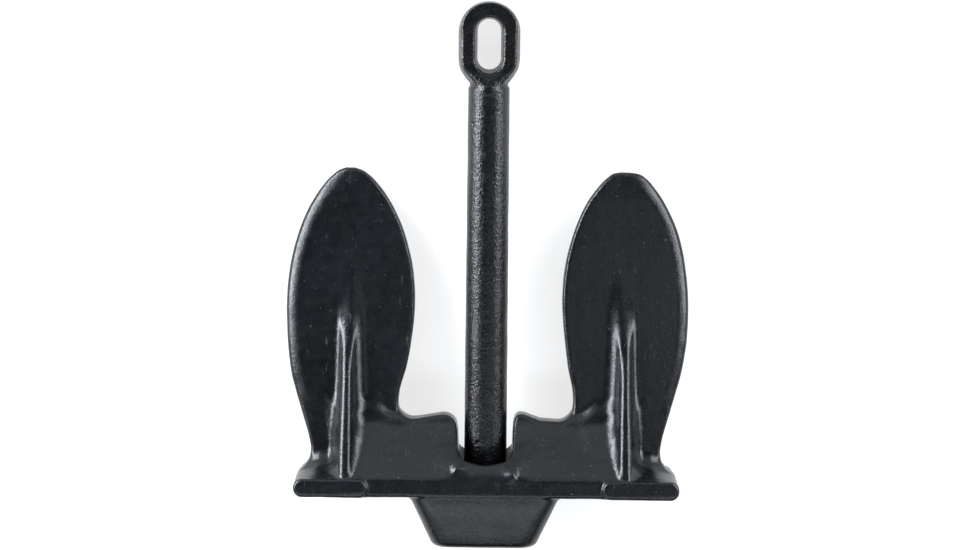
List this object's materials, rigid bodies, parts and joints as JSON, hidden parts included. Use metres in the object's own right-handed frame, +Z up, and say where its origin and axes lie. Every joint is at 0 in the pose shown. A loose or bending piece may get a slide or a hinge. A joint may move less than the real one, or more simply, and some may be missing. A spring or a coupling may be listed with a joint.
{
  "type": "boat anchor",
  "caption": "Stockless navy-pattern boat anchor, vinyl coated: cast head with leaf flukes and tripping palms, round shank swinging on a crown pin, with a slotted rode eye.",
  "frame": {"origin": "bottom centre of the whole anchor as it lies on the ground", "axes": "+X across the flukes, +Y along the shank towards the rode eye, +Z up, out of the fluke face that looks up"},
  "size_m": [0.2668, 0.362, 0.0756],
  "materials": {
    "black_vinyl": "satin dipped vinyl with fine orange peel",
    "cast_iron": "sand-cast, bare inside the bell",
    "steel": "turned pin stock"
  },
  "bodies": {
    "head": {"head_casting": "cast_iron", "head_vinyl_coat": "black_vinyl", "bell_keeper": "cast_iron", "keeper_pin_left": "steel", "keeper_pin_right": "steel"},
    "shank": {"shank_casting": "cast_iron", "shank_vinyl_coat": "black_vinyl", "crown_pin": "steel", "crown_pin_lock": "steel"}
  },
  "joints": [
    {"name": "shank_swing", "type": "hinge", "parent": "head", "child": "shank", "pos_m": [0, -0.13589, 0.03766], "axis": [1, 0, 0], "range_deg": [-40.4, 31.6]}
  ]
}
